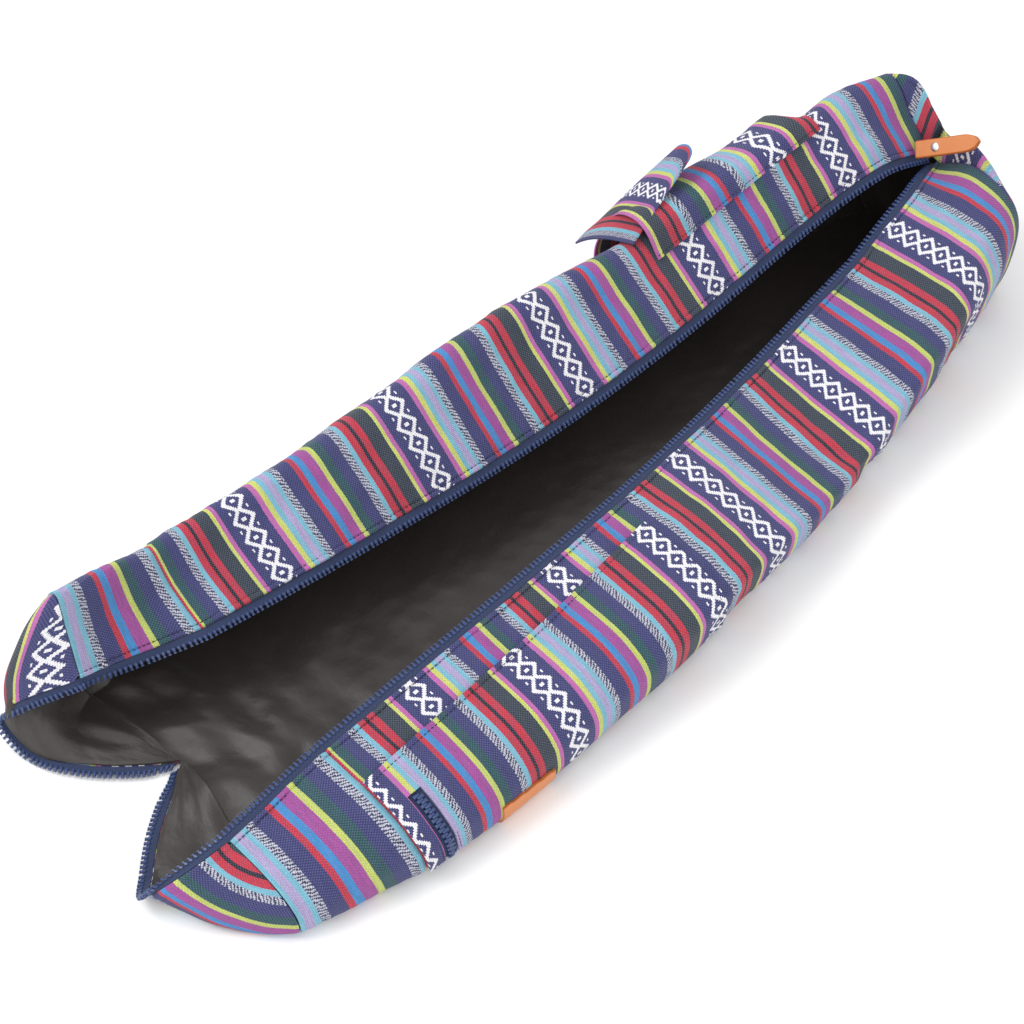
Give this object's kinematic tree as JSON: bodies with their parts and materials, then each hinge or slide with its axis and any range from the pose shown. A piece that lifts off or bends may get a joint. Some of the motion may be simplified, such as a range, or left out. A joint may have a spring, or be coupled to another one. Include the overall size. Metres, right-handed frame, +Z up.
{
  "type": "yoga mat bag",
  "caption": "Opened soft tube bag for a rolled mat, with striped woven cotton walls, dark lining, long zip, flap pocket, zip pocket and leather tab.",
  "frame": {"origin": "middle of the footprint's bounding box, on the floor", "axes": "+X along the bag from the opened near end to the closed far end, +Y toward the wall with the flap pocket, +Z up"},
  "size_m": [0.7696, 0.2694, 0.1382],
  "materials": {
    "striped_cotton": "coarse plain-woven cotton with dyed stripes",
    "black_lining": "smooth thin synthetic lining",
    "zip_tape": "woven twill tape",
    "zip_teeth": "moulded plastic",
    "tan_leather": "smooth vegetable-tanned leather with dyed edges",
    "rivet_metal": "polished plated dome"
  },
  "bodies": {
    "root": {"body_shell": "striped_cotton", "near_band": "striped_cotton", "near_disc_left": "striped_cotton", "near_disc_right": "striped_cotton", "far_disc": "striped_cotton", "flap_pocket": "striped_cotton", "pocket_flap": "striped_cotton", "zip_pocket_panel": "striped_cotton", "lining": "black_lining", "end_lining": "black_lining", "zip_tape_left": "zip_tape", "zip_tape_right": "zip_tape", "pocket_zip_tape": "zip_tape", "zip_teeth_left": "zip_teeth", "zip_teeth_right": "zip_teeth", "pocket_zip_teeth": "zip_teeth", "leather_patch": "tan_leather", "pull_tab": "tan_leather", "pull_rivet": "rivet_metal"}
  },
  "joints": []
}
